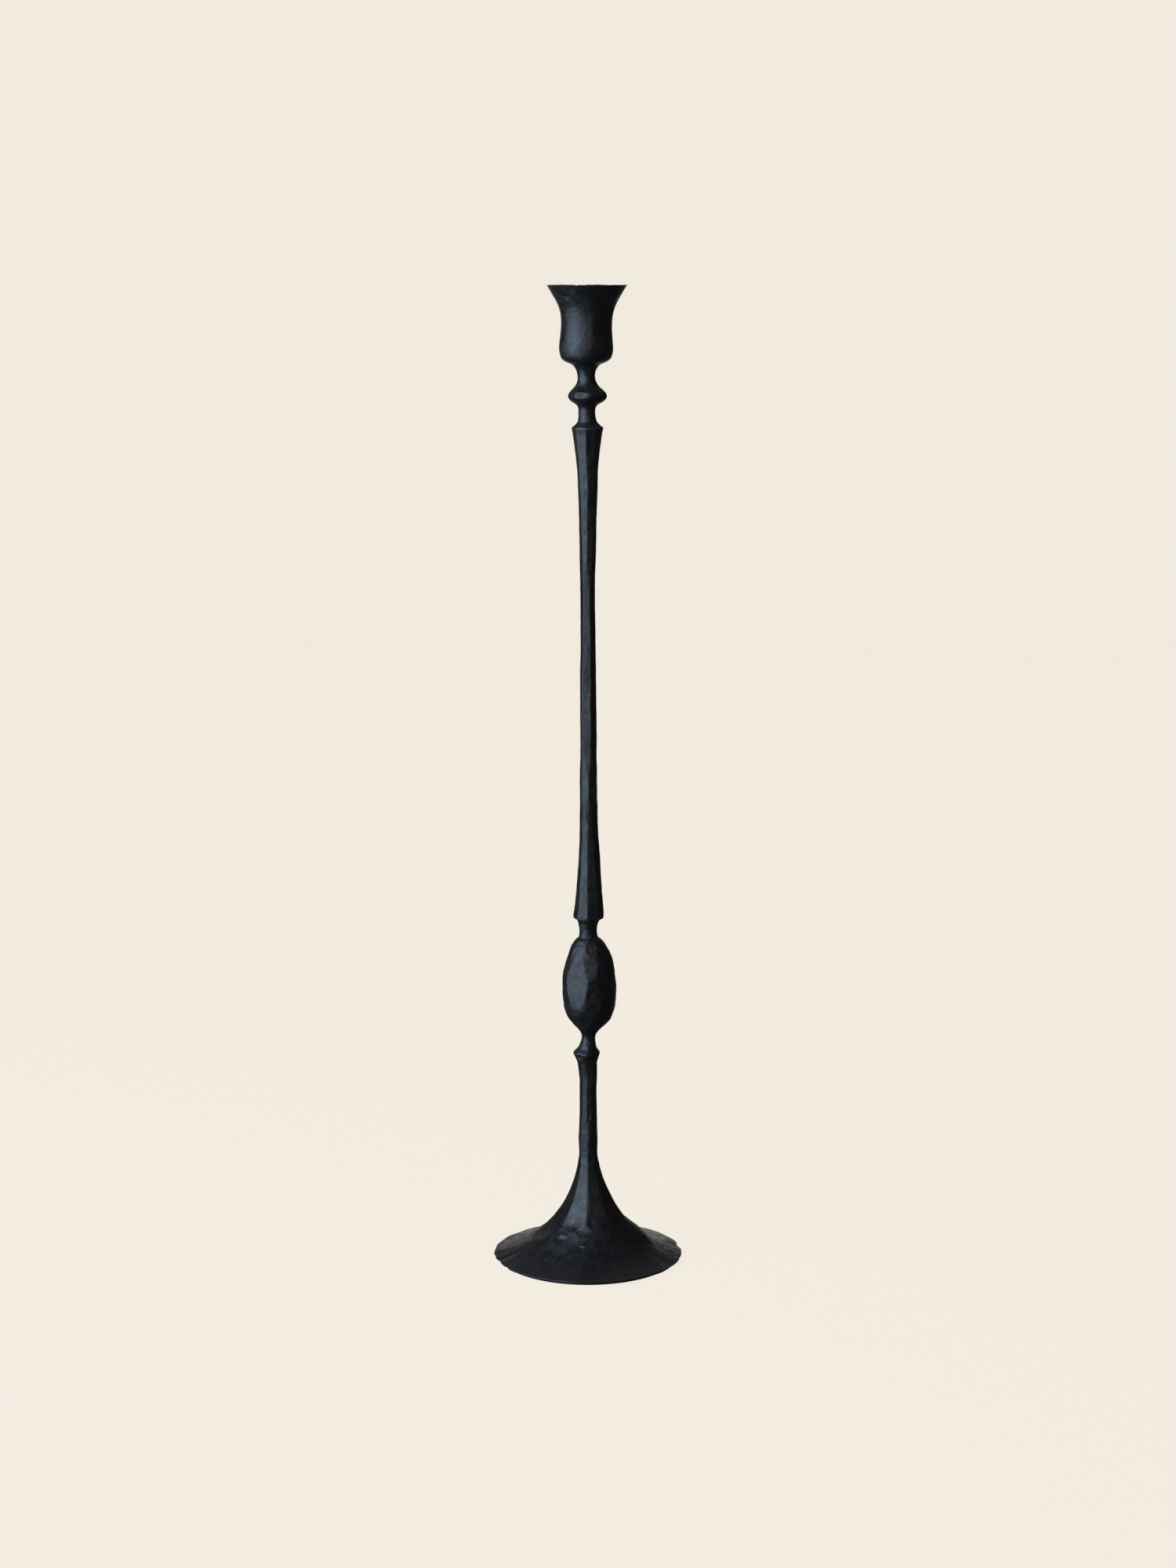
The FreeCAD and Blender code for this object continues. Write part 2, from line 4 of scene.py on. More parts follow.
import bpy
import numpy as np
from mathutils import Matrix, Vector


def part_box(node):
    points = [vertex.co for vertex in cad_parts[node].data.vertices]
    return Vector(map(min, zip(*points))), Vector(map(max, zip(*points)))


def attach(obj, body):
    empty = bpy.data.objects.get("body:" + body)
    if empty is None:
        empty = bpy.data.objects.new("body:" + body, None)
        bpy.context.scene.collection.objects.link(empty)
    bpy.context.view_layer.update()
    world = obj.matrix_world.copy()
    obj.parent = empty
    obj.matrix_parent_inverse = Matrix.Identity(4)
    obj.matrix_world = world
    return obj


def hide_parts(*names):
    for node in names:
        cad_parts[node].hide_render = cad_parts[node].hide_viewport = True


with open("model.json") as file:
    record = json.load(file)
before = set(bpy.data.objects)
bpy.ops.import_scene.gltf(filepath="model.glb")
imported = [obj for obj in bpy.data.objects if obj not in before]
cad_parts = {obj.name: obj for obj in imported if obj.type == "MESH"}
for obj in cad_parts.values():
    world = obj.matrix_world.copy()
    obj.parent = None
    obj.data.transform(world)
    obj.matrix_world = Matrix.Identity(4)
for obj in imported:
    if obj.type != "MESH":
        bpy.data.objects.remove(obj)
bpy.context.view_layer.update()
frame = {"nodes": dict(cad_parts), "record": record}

# A tall black iron candlestick, hammered by hand. Each piece is an outline turned round the
# upright axis, worked over as a smith works it: flats along the bars, planes struck on the egg,
# dents on the brim. Lengths are millimetres, except in the studio at the end, which is laid out in
# metres. Angles are degrees, counted from the front (-Y) towards the right (+X).

MM = 0.001
ROOT = "root"


# ---------------------------------------------------------------- places taken from the frame

def levels(node):
    """The lowest and highest level of a CAD node, in millimetres."""
    low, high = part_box(node)
    return low.z / MM, high.z / MM


def reach(node):
    """The largest radius of a CAD node, in millimetres."""
    low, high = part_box(node)
    return max(high.x, -low.x, high.y, -low.y) / MM


FOOT_LOW, FOOT_TOP = levels("flared_foot")
STEM_LOW, STEM_TOP = levels("pedestal_stem")
COLLAR_LOW, COLLAR_TOP = levels("stem_collar")
EGG_TENON, EGG_TOP = levels("egg_knop")
EGG_LOW = COLLAR_TOP
FERRULE_LOW, FERRULE_TOP = levels("shaft_ferrule")
SHAFT_LOW, SHAFT_TOP = levels("tapered_shaft")
KNOP_LOW, KNOP_TOP = levels("neck_knop")
CUP_LOW, CUP_TOP = levels("candle_cup")
BOLT_TOP = levels("foot_bolt")[1]
WASHER_SEAT = levels("foot_washer")[1]
SHAFT_STUD_LOW, SHAFT_STUD_TOP = levels("shaft_stud")
NECK_STUD_LOW, NECK_STUD_TOP = levels("neck_stud")
SCREW_LOW, SCREW_TOP = levels("cup_screw")
THREAD_ROOM, PASS_ROOM, HOLE_ROOM = 0.05, 0.2, 2.0
FOOT_RADIUS = reach("flared_foot")
STUD_HOLE = reach("shaft_stud") + THREAD_ROOM
STUD_CLEAR = reach("shaft_stud") + PASS_ROOM
NECK_HOLE = reach("neck_stud") + THREAD_ROOM
SOCKET = frame["record"]["mounts"][0]["dims"]["r_mm"]
SOCKET_TOP = frame["record"]["mounts"][0]["pos_m"][2] / MM


# ---------------------------------------------------------------- outlines

def smooth_run(points, step):
    """Points on a smooth curve through the given (radius, height) points. Between two of them it
    is the cubic that leaves and arrives along the slopes there, and the slope at a point is the
    mean of the two chords beside it, each weighted by the length of the other."""
    p = np.array(points, float)
    chord = np.diff(p, axis=0)
    length = np.hypot(chord[:, 0], chord[:, 1])
    slope = chord / length[:, None]
    tangent = np.vstack([slope[:1], slope[-1:]]) if len(p) == 2 else np.vstack([
        slope[:1],
        (slope[:-1] * length[1:, None] + slope[1:] * length[:-1, None])
        / (length[:-1] + length[1:])[:, None],
        slope[-1:],
    ])
    pieces = []
    for i, span in enumerate(length):
        t = np.arange(0, 1, 1 / max(2, math.ceil(span / step)))[:, None]
        pieces.append(
            (2 * t**3 - 3 * t**2 + 1) * p[i] + (t**3 - 2 * t**2 + t) * span * tangent[i]
            + (3 * t**2 - 2 * t**3) * p[i + 1] + (t**3 - t**2) * span * tangent[i + 1]
        )
    return np.vstack([*pieces, p[-1:]])


class Outline:
    """A piece's outline beside the axis, walked with the metal on the left: radius r, height z,
    distance s along it, outward normal (nr, nz), and worked, which is 1 where the hammer reaches
    and 0 on machined faces. Runs meet at corners, and every corner is rounded over a little.
    Rows lie a step apart where worked and a coarse number of steps apart elsewhere."""

    def __init__(self, runs, step, soft=0.25, ring=False, coarse=1.0):
        r, z, worked = [], [], []
        for points, is_worked in runs:
            run = smooth_run(points, step / 3)[:-1]
            r.append(run[:, 0])
            z.append(run[:, 1])
            worked.append(np.full(len(run), float(is_worked)))
        r, z, worked = np.concatenate(r), np.concatenate(z), np.concatenate(worked)
        end = runs[0][0][0] if ring else runs[-1][0][-1]
        r, z = np.append(r, end[0]), np.append(z, end[1])
        worked = np.append(worked, worked[-1])
        walked = np.append(0, np.cumsum(np.hypot(np.diff(r), np.diff(z))))
        per_row = np.where(worked > 0.5, step, step * coarse)
        rows = np.append(0, np.cumsum(np.diff(walked) / per_row[1:]))
        self.s = np.interp(np.linspace(0, rows[-1], round(rows[-1]) + 1), rows, walked)
        self.ring = ring
        self.r = self.rounded(np.interp(self.s, walked, r), soft / step)
        self.z = self.rounded(np.interp(self.s, walked, z), soft / step)
        self.worked = np.clip(self.rounded(np.interp(self.s, walked, worked), 0.5 / step), 0, 1)
        if ring:
            for name in ("s", "r", "z", "worked"):
                setattr(self, name, getattr(self, name)[:-1])
            dr = (np.roll(self.r, -1) - np.roll(self.r, 1)) / 2
            dz = (np.roll(self.z, -1) - np.roll(self.z, 1)) / 2
        else:
            dr, dz = np.gradient(self.r), np.gradient(self.z)
        size = np.maximum(np.hypot(dr, dz), 1e-9)
        self.nr, self.nz = dz / size, -dr / size

    def rounded(self, line, spread):
        """The line averaged under a bell curve of the given spread, with both ends kept."""
        half = max(1, round(spread * 3))
        bell = np.exp(-0.5 * (np.arange(-half, half + 1) / max(spread, 1e-6)) ** 2)
        bell /= bell.sum()
        if self.ring:
            return np.convolve(np.r_[line[-half - 1:-1], line, line[1:half + 1]], bell, "valid")
        start = 2 * line[0] - line[half:0:-1]
        finish = 2 * line[-1] - line[-2:-half - 2:-1]
        return np.convolve(np.r_[start, line, finish], bell, "valid")

    def at(self, height):
        """Distance along the outline where its worked face passes the height."""
        face = self.worked > 0.5
        order = np.argsort(self.z[face])
        return float(np.interp(height, self.z[face][order], self.s[face][order]))


# ---------------------------------------------------------------- hammer work

def wander(t, seed, period):
    """A slow random swing, mostly between -1 and 1: five sine waves with seeded phases, the longest
    two periods long and the shortest about half of one."""
    rng = np.random.default_rng(seed)
    swing = 0
    for length, weight in ((2.0, 1.0), (1.37, 0.8), (1.0, 0.7), (0.71, 0.5), (0.47, 0.35)):
        swing = swing + weight * np.sin(2 * np.pi * (t / (length * period) + rng.random()))
    return swing / 1.9


def turned_by(angle, other):
    """The signed difference between two angles in degrees, within half a turn."""
    return (angle - other + 180) % 360 - 180


def nearest(flats, crispness):
    """The smallest of the given surfaces at each point, with the edges between them rounded: their
    large negative powers added up, and the same root of the sum. A higher crispness rounds less."""
    total = 0
    for flat in flats:
        total = total + np.maximum(flat, 1e-3) ** -crispness
    return total ** (-1 / crispness)


def flats_along(angle, height, zones, seed, crispness=70, tilt=3.0, uneven=0.012):
    """How far out a bar reaches, as a share of its corner radius. Each zone (low, high, turn, sides)
    has flats that are cut squarely along it, with a corner towards turn, and that climb out of the
    metal beyond their ends, so flats of neighbouring zones run out into each other in long
    points. A flat's distance from the axis over the cosine of the angle from its middle is a
    straight line across the bar."""
    rng = np.random.default_rng(seed)
    flats = [np.ones(np.broadcast(angle, height).shape)]
    for low, high, turn, sides in zones:
        for side in range(sides):
            middle = turn + (side + 0.5) * 360 / sides + rng.normal(0, tilt)
            depth = math.cos(math.pi / sides) * (1 + rng.normal(0, uneven))
            start, stop = low + rng.normal(0, 3.0), high + rng.normal(0, 3.0)
            steep = rng.uniform(0.0035, 0.008)
            past = np.maximum(np.maximum(start - height, height - stop), 0)
            swing = uneven * 0.6 * wander(height, seed * 31 + side, 22.0)
            away = np.cos(np.radians(turned_by(angle, middle + 2.5 * wander(height, seed + side, 60))))
            flats.append((depth + swing + steep * past) / np.maximum(away, 0.15))
    return nearest(flats, crispness)


def dents(angle, outline, marks):
    """The depth of hammer marks at each point of an outline's surface, as a negative lift. A mark
    (angle, height, half width, half height, depth) is a bowl: its depth goes with one less the
    square of the distance from its middle, raised to one and a half so that its rim is soft. Where
    bowls overlap the deeper one counts, which leaves a ridge between them."""
    lift = np.zeros((len(outline.s), angle.size))
    s, r = outline.s[:, None], outline.r[:, None]
    for at_angle, at_height, width, tall, depth in marks:
        across = r * np.radians(turned_by(angle, at_angle)) / width
        along = (s - outline.at(at_height)) / tall
        lift = np.minimum(lift, -depth * np.maximum(1 - across**2 - along**2, 0) ** 1.5)
    return lift * outline.worked[:, None]


def hammered_over(outline, low, high, size, depth, seed):
    """Marks that cover the face between two heights in uneven rows, a little more than a mark's
    size apart."""
    rng = np.random.default_rng(seed)
    marks = []
    start, stop = sorted((outline.at(low), outline.at(high)))
    rows = max(1, round((stop - start) / (size * 1.25)))
    for row in range(rows):
        s = start + (stop - start) * (row + 0.5) / rows
        radius = float(np.interp(s, outline.s, outline.r))
        count = max(5, round(2 * math.pi * radius / (size * 1.35)))
        for place in range(count):
            angle = 360 * (place + 0.5 * (row % 2) + rng.normal(0, 0.18)) / count
            height = float(np.interp(s + rng.normal(0, size * 0.2), outline.s, outline.z))
            wide, tall = size * rng.uniform(0.75, 1.25, 2)
            marks.append((angle, height, wide, tall, depth * rng.uniform(0.5, 1.3)))
    return marks


# ---------------------------------------------------------------- meshes

LEAN = [
    (0, 0.0), (10, 0.15), (25, 0.65), (40, 0.8), (55, 0.4), (70, 0.1), (95, 0.1), (115, 0.2), (131, -0.9),
    (139, 0.15), (153, 1.2), (170, 0.7), (193, 0.9), (205, 0.2), (212, 0.0), (222, 0.75),
    (252, 0.85), (272, 0.45), (290, 0.3), (310, 0.4), (360, 0.1), (395, 0.1), (420, -0.1),
    (470, -0.05), (505, -0.35), (517, -0.3), (525, -0.75), (536, -0.25), (547, -1.1), (565, -1.2),
    (580, -0.9), (600, -0.7),
]


def lean(height):
    """How far the centre of the piece stands to the right at a height, as hand-made pieces do."""
    heights, shifts = zip(*LEAN)
    return np.interp(height, heights, shifts)


def columns(count):
    """Evenly spaced angles round the axis, in degrees."""
    return np.arange(count) * 360.0 / count


def worked_edges(points):
    """How sharply the surface stands proud, from 0 to 1: how far each point lies above the four
    points three grid steps off, measured along the normal, as a share of the distance to them. Four
    such shares are averaged, and gentle curves, below a threshold, count as 0."""
    round_way = np.roll(points, -1, 1) - np.roll(points, 1, 1)
    up_way = np.gradient(points, axis=0)
    normal = np.cross(round_way, up_way)
    normal /= np.maximum(np.linalg.norm(normal, axis=2, keepdims=True), 1e-9)
    step = 3
    padded = np.pad(points, ((step, step), (0, 0), (0, 0)), mode="edge")
    proud = 0
    for other in (np.roll(points, step, 1), np.roll(points, -step, 1), padded[2 * step:],
                  padded[:-2 * step]):
        away = points - other
        proud = proud + np.sum(away * normal, axis=2) / np.maximum(np.linalg.norm(away, axis=2), 0.2)
    gentle, rise_to_full = 0.06, 0.15
    return np.clip((proud / 4 - gentle) / rise_to_full, 0, 1)


def turned(name, outline, angle, reach_share=1.0, lift=0.0, leaning=None, drop=0.0):
    """The outline turned round the axis into a closed mesh. A point lies at its outline radius
    times reach_share, then lift along the normal, then lower by drop, and it is shifted by the
    lean of its height times leaning, which is 1 unless it is given. Ends on the axis close in a
    fan, and a ring outline closes on itself."""
    shape = (len(outline.s), angle.size)
    share = 1 + (np.broadcast_to(reach_share, shape) - 1) * outline.worked[:, None]
    lift = np.broadcast_to(lift, shape)
    radius = np.maximum(outline.r[:, None] * share + lift * outline.nr[:, None], 0)
    height = outline.z[:, None] + lift * outline.nz[:, None] - drop
    shift = lean(height) * (1.0 if leaning is None else leaning[:, None])
    turn = np.radians(angle)[None, :]
    points = np.stack([radius * np.sin(turn) + shift, -radius * np.cos(turn), height], axis=2)
    worn = worked_edges(points) * outline.worked[:, None]
    rows, count = shape
    index = np.arange(rows * count).reshape(shape)
    flat_points, flat_worn = points.reshape(-1, 3), worn.reshape(-1)
    if outline.ring:
        below, above = index, np.roll(index, -1, 0)
        fans = []
    else:
        # The first and last rows lie on the axis: each is one point with a fan of triangles.
        index = index[1:-1] - count
        below, above = index[:-1], index[1:]
        first, last = index.size, index.size + 1
        centre = np.array([points[0].mean(0), points[-1].mean(0)])
        flat_points = np.vstack([points[1:-1].reshape(-1, 3), centre])
        flat_worn = np.r_[worn[1:-1].reshape(-1), 0, 0]
        low, high = index[0], index[-1]
        fans = [(first, int(b), int(a)) for a, b in zip(low, np.roll(low, -1))]
        fans += [(int(a), int(b), last) for a, b in zip(high, np.roll(high, -1))]
    quads = np.stack([below, np.roll(below, -1, 1), np.roll(above, -1, 1), above], axis=2)
    mesh = bpy.data.meshes.new(name)
    mesh.from_pydata(flat_points * MM, [], quads.reshape(-1, 4).tolist() + fans)
    mesh.polygons.foreach_set("use_smooth", np.ones(len(mesh.polygons), bool))
    mesh.set_sharp_from_angle(angle=math.radians(50))
    mesh.attributes.new("worn", "FLOAT", "POINT").data.foreach_set("value", flat_worn.astype("f4"))
    mesh.update()
    piece = bpy.data.objects.new(name, mesh)
    bpy.context.collection.objects.link(piece)
    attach(piece, ROOT)
    return piece


def iron_piece(name, node, *how, **more):
    """A turned piece in black iron that stands for a CAD node. The bars, the collar and the neck
    have their reach multiplied by fuller, which makes up for some of what their flats take off."""
    piece = turned(name, *how, **more)
    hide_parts(node)
    piece.data.materials.append(materials["black_iron"])
    return piece


# ---------------------------------------------------------------- materials

class Amount:
    """A number that changes over a surface: a node's output, with Python's arithmetic on it."""

    def __init__(self, recipe, socket):
        self.recipe, self.socket = recipe, socket

    def maths(self, operation, first, second, clamp=False):
        settings = {"operation": operation, "use_clamp": clamp}
        return self.recipe.amount("ShaderNodeMath", settings, {0: first, 1: second})

    def __add__(self, other):
        return self.maths("ADD", self, other)

    def __sub__(self, other):
        return self.maths("SUBTRACT", self, other)

    def __rsub__(self, other):
        return self.maths("SUBTRACT", other, self)

    def __mul__(self, other):
        return self.maths("MULTIPLY", self, other)

    __radd__ = __add__
    __rmul__ = __mul__

    def within(self):
        """The amount held between 0 and 1."""
        return self.maths("ADD", self, 0.0, clamp=True)

    def ramp(self, low, high):
        """0 below low, 1 above high, and a smooth rise between."""
        settings = {"interpolation_type": "SMOOTHSTEP"}
        return self.recipe.amount("ShaderNodeMapRange", settings, {0: self, 1: low, 2: high})


class Recipe:
    """A material and its nodes."""

    def __init__(self, name):
        self.material = bpy.data.materials.new(name)
        self.material.use_nodes = True
        self.tree = self.material.node_tree
        self.shader = self.tree.nodes["Principled BSDF"]
        self.place = self.node("ShaderNodeTexCoord").outputs["Object"]

    def node(self, kind, settings=None, values=None):
        """Add a node, give it its settings, and set or link its inputs."""
        node = self.tree.nodes.new(kind)
        for key, value in (settings or {}).items():
            setattr(node, key, value)
        for key, value in (values or {}).items():
            self.feed(node.inputs[key], value)
        return node

    def feed(self, socket, value):
        """Link a socket to an amount or an output, or set its value."""
        source = value.socket if isinstance(value, Amount) else value
        if isinstance(source, bpy.types.NodeSocket):
            self.tree.links.new(source, socket)
        else:
            socket.default_value = source

    def amount(self, kind, settings=None, values=None, output=0):
        return Amount(self, self.node(kind, settings, values).outputs[output])

    def noise(self, size, detail=3.0, rough=0.55, stretch=None):
        """Cloudy noise whose patches are about size millimetres across."""
        place = self.place
        if stretch:
            place = self.node("ShaderNodeMapping", None, {"Vector": place, "Scale": stretch}).outputs[0]
        values = {"Vector": place, "Scale": 1 / (size * MM), "Detail": detail, "Roughness": rough}
        return self.amount("ShaderNodeTexNoise", None, values, output="Fac")

    def blend(self, share, low, high):
        """A colour from low to high by share."""
        values = {"Factor": share, 6: low, 7: high}
        return self.node("ShaderNodeMix", {"data_type": "RGBA"}, values).outputs[2]

    def attribute(self, name):
        """An amount stored at the mesh's points."""
        return self.amount("ShaderNodeAttribute", {"attribute_name": name}, None, output="Fac")

    def finish(self, inputs, bump, strength, distance):
        """Feed the shader, with a bump of the given height in millimetres."""
        for key, value in inputs.items():
            self.feed(self.shader.inputs[key], value)
        values = {"Height": bump, "Strength": strength, "Distance": distance * MM}
        self.feed(self.shader.inputs["Normal"], self.node("ShaderNodeBump", None, values).outputs[0])
        return self.material


def colour(red, green, blue):
    return (red, green, blue, 1.0)


def black_iron():
    """Hammered iron under a thin burnt-on black: near-black, cloudy between a warm and a cold
    tone, a little brighter where hammer edges are rubbed, with a fine grain and scattered pits in
    its surface."""
    recipe = Recipe("black_iron")
    clouds = recipe.noise(5.5, 4.0)
    drawn = recipe.noise(2.2, 3.0, 0.6, stretch=(1.0, 1.0, 0.35))
    grain = recipe.noise(1.5, 4.0, 0.68)
    pits = recipe.noise(2.4, 1.0).ramp(0.52, 0.80)
    rubbed = (recipe.attribute("worn") * grain.ramp(0.3, 0.6)).within()
    cold, warm = colour(0.0080, 0.0082, 0.0095), colour(0.0115, 0.0102, 0.0096)
    dark = recipe.blend(clouds.ramp(0.38, 0.62), cold, warm)
    tone = recipe.blend(rubbed * 0.25, dark, colour(0.040, 0.043, 0.050))
    rough = 0.18 + clouds.ramp(0.3, 0.7) * 0.24 + grain * 0.14 + pits * 0.12
    height = grain * 0.8 + drawn * 0.6 - pits * 0.3
    inputs = {"Base Color": tone, "Roughness": rough.within(), "Specular IOR Level": 0.5}
    return recipe.finish(inputs, height, 0.8, 0.27)


def zinc_steel():
    """Bright zinc on screw steel: pale grey with a faint blue and yellow cast and fine scuffs."""
    recipe = Recipe("zinc_steel")
    cast = recipe.noise(3.0, 3.0)
    scuffs = recipe.noise(0.5, 4.0, 0.65, stretch=(1.0, 1.0, 0.25))
    tone = recipe.blend(cast, colour(0.50, 0.52, 0.56), colour(0.60, 0.58, 0.50))
    rough = 0.28 + scuffs * 0.22
    inputs = {"Base Color": tone, "Roughness": rough, "Metallic": 1.0}
    return recipe.finish(inputs, scuffs, 0.25, 0.05)


def black_felt():
    """Pressed wool: matt and nearly black, with loose fibres that catch the light."""
    recipe = Recipe("black_felt")
    fibres = recipe.noise(0.35, 5.0, 0.75, stretch=(1.0, 0.4, 1.0))
    clumps = recipe.noise(2.5, 3.0)
    tone = recipe.blend(fibres.ramp(0.4, 0.75), colour(0.012, 0.012, 0.013), colour(0.055, 0.053, 0.052))
    inputs = {"Base Color": tone, "Roughness": 0.92 + clumps * 0.06, "Specular IOR Level": 0.2}
    return recipe.finish(inputs, fibres + clumps * 0.5, 0.6, 0.25)


materials = {"black_iron": black_iron(), "zinc_steel": zinc_steel(), "black_felt": black_felt()}


# ---------------------------------------------------------------- the pieces, foot to cup

def flared_foot():
    """A thin trumpet that spreads into a wide brim. Its brim is cut to a many-sided edge, flats run
    up the trumpet with a corner near the front, and dents ring the place where the trumpet turns
    into the brim."""
    land, chamfer, throat, seat = 50.0, 1.6, 6.5, 7.0
    edge_low, edge_high = FOOT_LOW + 0.9, FOOT_LOW + 1.8
    outside = [
        (FOOT_RADIUS, edge_high), (55.7, 3.9), (49.2, 6.1), (42.9, 8.9), (36.9, 12.5),
        (31.6, 16.3), (27.4, 20.2), (23.5, 24.6), (19.7, 29.4), (16.4, 34.4), (13.6, 39.8),
        (11.3, 45.0), (9.35, 50.1), (7.9, 55.0), (6.95, 59.0), (throat, FOOT_TOP),
    ]
    inside = [
        (seat, WASHER_SEAT), (8.5, 40.1), (11.5, 34.0), (15.1, 28.3), (19.2, 23.0), (25.8, 16.4),
        (32.2, 10.5), (39.4, 5.7), (land, FOOT_LOW),
    ]
    outline = Outline([
        ([(land, FOOT_LOW), (FOOT_RADIUS - chamfer, FOOT_LOW)], False),
        ([(FOOT_RADIUS - chamfer, FOOT_LOW), (FOOT_RADIUS, edge_low)], True),
        ([(FOOT_RADIUS, edge_low), (FOOT_RADIUS, edge_high)], True),
        (outside, True),
        ([(throat, FOOT_TOP), (STUD_CLEAR, FOOT_TOP)], False),
        ([(STUD_CLEAR, FOOT_TOP), (STUD_CLEAR, WASHER_SEAT)], False),
        ([(STUD_CLEAR, WASHER_SEAT), (seat, WASHER_SEAT)], False),
        (inside, False),
    ], step=0.66, soft=0.15, ring=True, coarse=2.5)
    angle = columns(320)
    radius, height = outline.r[:, None], outline.z[:, None]
    rng = np.random.default_rng(41)
    # The brim's edge: straight cuts of 9 to 18 degrees all the way round, meeting in blunt corners,
    # and then notches (angle, half width, depth as a share of the radius).
    cuts, turn = [], -78.0
    once_round = turn + 360
    while turn < once_round - 6:
        width = min(rng.uniform(9, 18), once_round - turn)
        middle = turn + width / 2
        out = math.cos(math.radians(width / 2)) * (1 - 0.005 * rng.random())
        away = np.cos(np.radians(turned_by(angle, middle)))
        cuts.append(np.where(away > 0.5, out / np.maximum(away, 0.5), 9.0))
        turn += width
    edge = np.minimum(nearest(cuts, 160), 1.0)
    notches = ((-83, 2.2, 0.014), (-73, 2.5, 0.020), (-61, 3.0, 0.018), (-50, 2.0, 0.010),
               (64, 3.0, 0.008), (79, 3.0, 0.010), (101, 4.0, 0.016), (178, 5.0, 0.012))
    for at, wide, deep in notches:
        edge = edge - deep * np.exp(-((turned_by(angle, at) / wide) ** 2))
    brim = np.clip((radius - 30) / 24, 0, 1) ** 2
    flats = flats_along(angle, height, [(24, 62, -5.0, 8)], seed=11, crispness=60, tilt=4.0)
    trumpet = np.clip((34 - radius) / 14, 0, 1)
    share = (1 + (edge - 1) * brim) * (1 + (flats - 1) * trumpet)
    marks = hammered_over(outline, 4.2, 17.0, 10.0, 0.09, seed=5)
    marks += hammered_over(outline, 17.0, 36.0, 6.0, 0.10, seed=6)
    marks += [(-30, 25.6, 8.0, 4.4, 0.75), (-8, 23.6, 6.0, 4.6, 0.75), (4, 28.0, 3.0, 4.0, 0.45),
              (-30, 35.0, 4.0, 4.4, 0.25), (-20, 41.0, 3.4, 4.4, 0.2), (32, 18.5, 7.0, 6.0, 0.45),
              (-78, 18.5, 11.0, 8.0, 1.0), (79.5, 13.9, 1.7, 2.2, 0.5), (78, 12.8, 1.8, 2.4, 0.8),
              (76.5, 11.8, 1.8, 2.4, 0.8), (75, 10.8, 1.7, 2.2, 0.5)]
    # Folds have the form of marks, but stand proud of the surface.
    folds = [(-38, 20.4, 5.4, 2.3, 0.5), (-5, 16.8, 4.2, 2.0, 0.5), (86, 17.0, 18.0, 13.0, 1.6)]
    lift = dents(angle, outline, marks) - dents(angle, outline, folds)
    # The brim waves up and down a little, but not where it stands.
    brim_round = 370
    wavy = 0.25 * wander(angle / 360 * brim_round, 77, 40)[None, :] * np.clip((radius - 40) / 18, 0, 1)
    lift = lift + wavy * outline.worked[:, None] * (height > FOOT_LOW + 0.55)
    return iron_piece("flared_foot_hammered", "flared_foot", outline, angle, share, lift)


def pedestal_stem():
    """A slim bar with narrow flats and a lap in the metal at its front, tapped at both ends."""
    length, foot, top = STEM_TOP - STEM_LOW, 6.5, 6.15
    outside = [(foot, 0), (6.15, 2), (5.95, 6), (6.15, 10), (6.35, 14), (6.15, 21), (5.85, 34),
               (5.65, 46), (5.65, 52), (5.95, 58), (top, length)]
    hole_low, hole_high = BOLT_TOP + HOLE_ROOM, EGG_TENON - HOLE_ROOM
    outline = Outline([
        ([(0, hole_low), (STUD_HOLE, hole_low)], False),
        ([(STUD_HOLE, hole_low), (STUD_HOLE, STEM_LOW)], False),
        ([(STUD_HOLE, STEM_LOW), (foot, STEM_LOW)], False),
        ([(r, STEM_LOW + z) for r, z in outside], True),
        ([(top, STEM_TOP), (STUD_HOLE, STEM_TOP)], False),
        ([(STUD_HOLE, STEM_TOP), (STUD_HOLE, hole_high)], False),
        ([(STUD_HOLE, hole_high), (0, hole_high)], False),
    ], step=0.4, soft=0.12)
    angle = columns(144)
    zones = [(60, 92, -5, 8), (94, 126, -20, 7), (80, 108, 8, 8)]
    share = flats_along(angle, outline.z[:, None], zones, seed=23, crispness=60, uneven=0.02)
    marks = [(6, 91.5, 1.2, 4.2, 0.45), (-8, 87.0, 0.9, 3.0, 0.25), (-40, 106, 3.0, 5.0, 0.15),
             (-30, 75, 3.0, 6.0, 0.15)]
    marks += hammered_over(outline, 63, 123, 3.2, 0.07, seed=24)
    fuller = 1.012
    return iron_piece("pedestal_stem_hammered", "pedestal_stem", outline, angle, share * fuller,
                      dents(angle, outline, marks))


